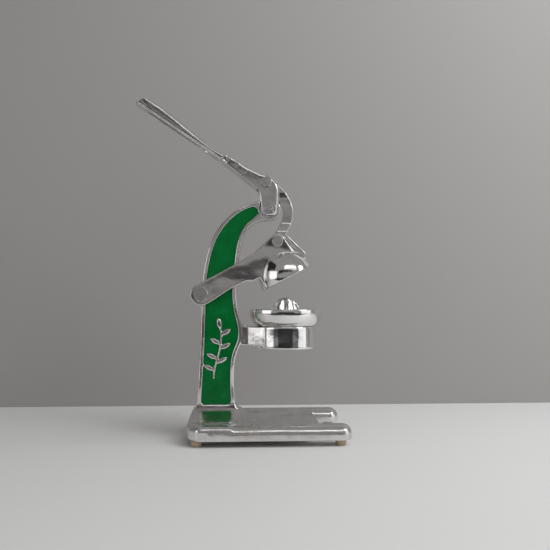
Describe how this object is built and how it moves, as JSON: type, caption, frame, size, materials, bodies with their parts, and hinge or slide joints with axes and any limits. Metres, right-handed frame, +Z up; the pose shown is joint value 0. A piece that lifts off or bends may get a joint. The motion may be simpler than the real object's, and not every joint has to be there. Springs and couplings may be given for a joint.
{
  "type": "citrus press juicer",
  "caption": "Hand citrus press of polished cast aluminium: U-shaped foot, green-filled curved column, toggle lever, link, swinging press cup and a lift-in strainer on a collar.",
  "frame": {"origin": "on the table, under the middle of the whole press at rest", "axes": "+Z up, +X to the front where the glass stands, +Y across"},
  "size_m": [0.2926, 0.153, 0.4695],
  "materials": {
    "cast_aluminium": "hand-polished sand casting",
    "enamel": "glossy poured enamel",
    "rubber": "satin, beige",
    "steel": "zinc-plated"
  },
  "bodies": {
    "frame": {"base": "cast_aluminium", "column": "cast_aluminium", "enamel_near": "enamel", "enamel_far": "enamel", "foot_front_near": "rubber", "foot_front_far": "rubber", "foot_rear_near": "rubber", "foot_rear_far": "rubber", "foot_screws": "steel", "column_bolts": "steel", "column_washers": "steel", "arm_pivot_washers": "steel", "arm_pivot_bolt": "steel", "arm_pivot_nut": "steel", "head_pivot_washers": "steel", "head_pivot_bolt": "steel", "head_pivot_nut": "steel"},
    "lever": {"lever": "cast_aluminium", "fork_pivot_washers": "steel", "fork_pivot_bolt": "steel", "fork_pivot_nut": "steel"},
    "link": {"link": "cast_aluminium"},
    "presser": {"presser": "cast_aluminium", "foot_pivot_washers": "steel", "foot_pivot_bolt": "steel", "foot_pivot_nut": "steel"},
    "strainer": {"strainer": "cast_aluminium"}
  },
  "joints": [
    {"name": "lever_pull", "type": "hinge", "parent": "frame", "child": "lever", "pos_m": [0.0416, 0, 0.3134], "axis": [0, 1, 0], "range_deg": [0, 132]},
    {"name": "link_swing", "type": "hinge", "parent": "lever", "child": "link", "pos_m": [0.0364, 0, 0.3494], "axis": [0, 1, 0], "range_deg": [-122.94, 0]},
    {"name": "presser_swing", "type": "hinge", "parent": "frame", "child": "presser", "pos_m": [-0.0516, 0, 0.1943], "axis": [0, 1, 0], "range_deg": [0, 28.3]},
    {"name": "strainer_turn", "type": "hinge", "parent": "frame", "child": "strainer", "pos_m": [0.064, 0, 0.16], "axis": [0, 0, 1], "continuous": true}
  ],
  "couplings": [
    {"joint": "link_swing", "follows": "lever_pull", "ratio": -0.92985},
    {"joint": "presser_swing", "follows": "lever_pull", "ratio": 0.21402}
  ]
}
